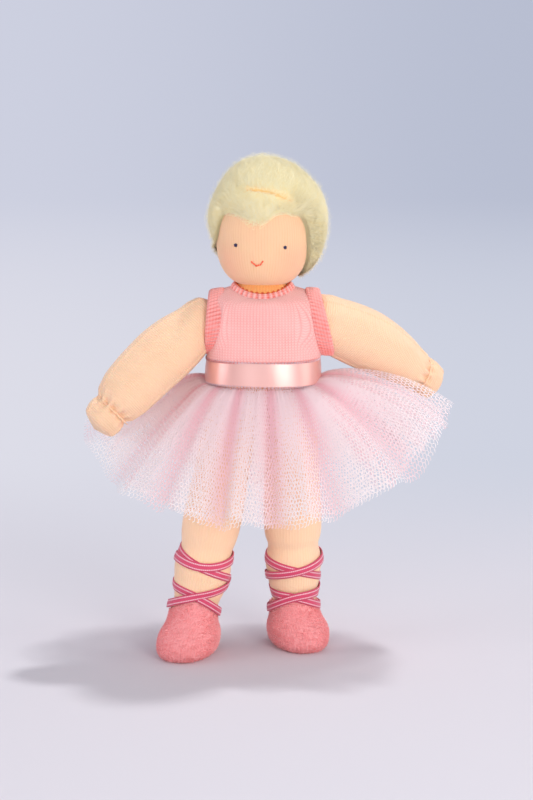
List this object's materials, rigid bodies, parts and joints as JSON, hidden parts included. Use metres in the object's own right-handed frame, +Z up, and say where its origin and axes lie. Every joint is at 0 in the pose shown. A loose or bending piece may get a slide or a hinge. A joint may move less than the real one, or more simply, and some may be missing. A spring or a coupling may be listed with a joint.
{
  "type": "ballerina doll",
  "caption": "Small stuffed cloth dancer doll in a gathered tulle tutu, knitted bodice and laced slippers, posable by inner wires.",
  "frame": {"origin": "middle of the bounding box on the floor that the slippers stand on", "axes": "+Z up the doll, -Y the way it faces, +X its left"},
  "size_m": [0.1126, 0.071, 0.1514],
  "materials": {
    "wool": "carded wool, matt",
    "wire": "thin annealed steel wire",
    "hair": "brushed pale wool, soft sheen, fine strands",
    "eye_thread": "embroidery thread",
    "mouth_thread": "embroidery thread",
    "neck_thread": "strong sewing thread",
    "edging": "ribbed knit edging, matt",
    "bodice_knit": "fine stocking stitch, matt",
    "satin_ribbon": "satin with small looped edges, glossy",
    "tape": "woven cotton tape",
    "tulle": "fine hexagonal net, see-through, soft",
    "plush": "short pile velour",
    "lace_ribbon": "narrow woven ribbon with two pale stitched stripes",
    "jersey": "fine cotton jersey, matt"
  },
  "bodies": {
    "torso": {"torso_skin": "jersey", "torso_stuffing": "wool", "chest_wire": "wire", "spine_wire": "wire", "seat_wire": "wire", "right_armhole_edging": "edging", "left_armhole_edging": "edging", "neckline_edging": "edging", "bodice": "bodice_knit", "waist_ribbon": "satin_ribbon", "tutu_waist_tape": "tape", "tutu_top_layer": "tulle", "tutu_middle_layer": "tulle", "tutu_under_layer": "tulle"},
    "neck": {"neck_skin": "jersey", "neck_stuffing": "wool", "neck_wire": "wire", "neck_thread": "neck_thread"},
    "head": {"head_skin": "jersey", "head_stuffing": "wool", "right_eye": "eye_thread", "left_eye": "eye_thread", "mouth": "mouth_thread", "hair_crown_roll": "hair", "hair_cap": "hair", "hair_fringe": "hair"},
    "right_shoulder": {"right_shoulder_wire_bend": "wire"},
    "right_upper_arm": {"right_upper_arm_skin": "jersey", "right_upper_arm_stuffing": "wool", "right_upper_arm_wire": "wire"},
    "right_forearm": {"right_forearm_skin": "jersey", "right_forearm_stuffing": "wool", "right_forearm_wire": "wire", "right_wrist_thread": "jersey"},
    "right_thigh": {"right_thigh_skin": "jersey", "right_thigh_stuffing": "wool", "right_thigh_wire": "wire"},
    "right_lower_leg": {"right_lower_leg_skin": "jersey", "right_lower_leg_stuffing": "wool", "right_lower_leg_wire": "wire", "right_shoe": "plush", "right_inner_lace": "lace_ribbon", "right_outer_lace": "lace_ribbon"},
    "left_shoulder": {"left_shoulder_wire_bend": "wire"},
    "left_upper_arm": {"left_upper_arm_skin": "jersey", "left_upper_arm_stuffing": "wool", "left_upper_arm_wire": "wire"},
    "left_forearm": {"left_forearm_skin": "jersey", "left_forearm_stuffing": "wool", "left_forearm_wire": "wire", "left_wrist_thread": "jersey"},
    "left_thigh": {"left_thigh_skin": "jersey", "left_thigh_stuffing": "wool", "left_thigh_wire": "wire"},
    "left_lower_leg": {"left_lower_leg_skin": "jersey", "left_lower_leg_stuffing": "wool", "left_lower_leg_wire": "wire", "left_shoe": "plush", "left_inner_lace": "lace_ribbon", "left_outer_lace": "lace_ribbon"}
  },
  "joints": [
    {"name": "neck_nod", "type": "hinge", "parent": "torso", "child": "neck", "pos_m": [-0.00102, -0.00251, 0.11], "axis": [1, 0, 0], "range_deg": [-6, 9]},
    {"name": "head_turn", "type": "hinge", "parent": "neck", "child": "head", "pos_m": [-0.00102, -0.00251, 0.114], "axis": [0, 0, 1], "range_deg": [-60, 60]},
    {"name": "right_arm_swing", "type": "hinge", "parent": "torso", "child": "right_shoulder", "pos_m": [-0.01922, -0.00251, 0.10181], "axis": [-1, 0, 0], "range_deg": [0, 120]},
    {"name": "right_arm_raise", "type": "hinge", "parent": "right_shoulder", "child": "right_upper_arm", "pos_m": [-0.01922, -0.00251, 0.10181], "axis": [-0.2756, 0.9613, 0], "range_deg": [0, 80]},
    {"name": "right_elbow", "type": "hinge", "parent": "right_upper_arm", "child": "right_forearm", "pos_m": [-0.03398, -0.00674, 0.08748], "axis": [-0.6963, 0, 0.7178], "range_deg": [0, 60]},
    {"name": "right_hip", "type": "hinge", "parent": "torso", "child": "right_thigh", "pos_m": [-0.00942, -0.00251, 0.0765], "axis": [-1, 0, 0], "range_deg": [-25, 15]},
    {"name": "right_knee", "type": "hinge", "parent": "right_thigh", "child": "right_lower_leg", "pos_m": [-0.0169, -0.00581, 0.03888], "axis": [0.9809, -0.017, -0.1935], "range_deg": [0, 55]},
    {"name": "left_arm_swing", "type": "hinge", "parent": "torso", "child": "left_shoulder", "pos_m": [0.01718, -0.00251, 0.10181], "axis": [-1, 0, 0], "range_deg": [-60, 14]},
    {"name": "left_arm_raise", "type": "hinge", "parent": "left_shoulder", "child": "left_upper_arm", "pos_m": [0.01718, -0.00251, 0.10181], "axis": [0.454, -0.891, 0], "range_deg": [0, 60]},
    {"name": "left_elbow", "type": "hinge", "parent": "left_upper_arm", "child": "left_forearm", "pos_m": [0.03385, 0.00599, 0.09227], "axis": [-0.4964, 0, -0.8681], "range_deg": [0, 38]},
    {"name": "left_hip", "type": "hinge", "parent": "torso", "child": "left_thigh", "pos_m": [0.00738, -0.00251, 0.0765], "axis": [-1, 0, 0], "range_deg": [-25, 20]},
    {"name": "left_knee", "type": "hinge", "parent": "left_thigh", "child": "left_lower_leg", "pos_m": [0.00826, -0.00058, 0.03806], "axis": [0.9997, -0.0011, 0.0228], "range_deg": [0, 55]}
  ]
}
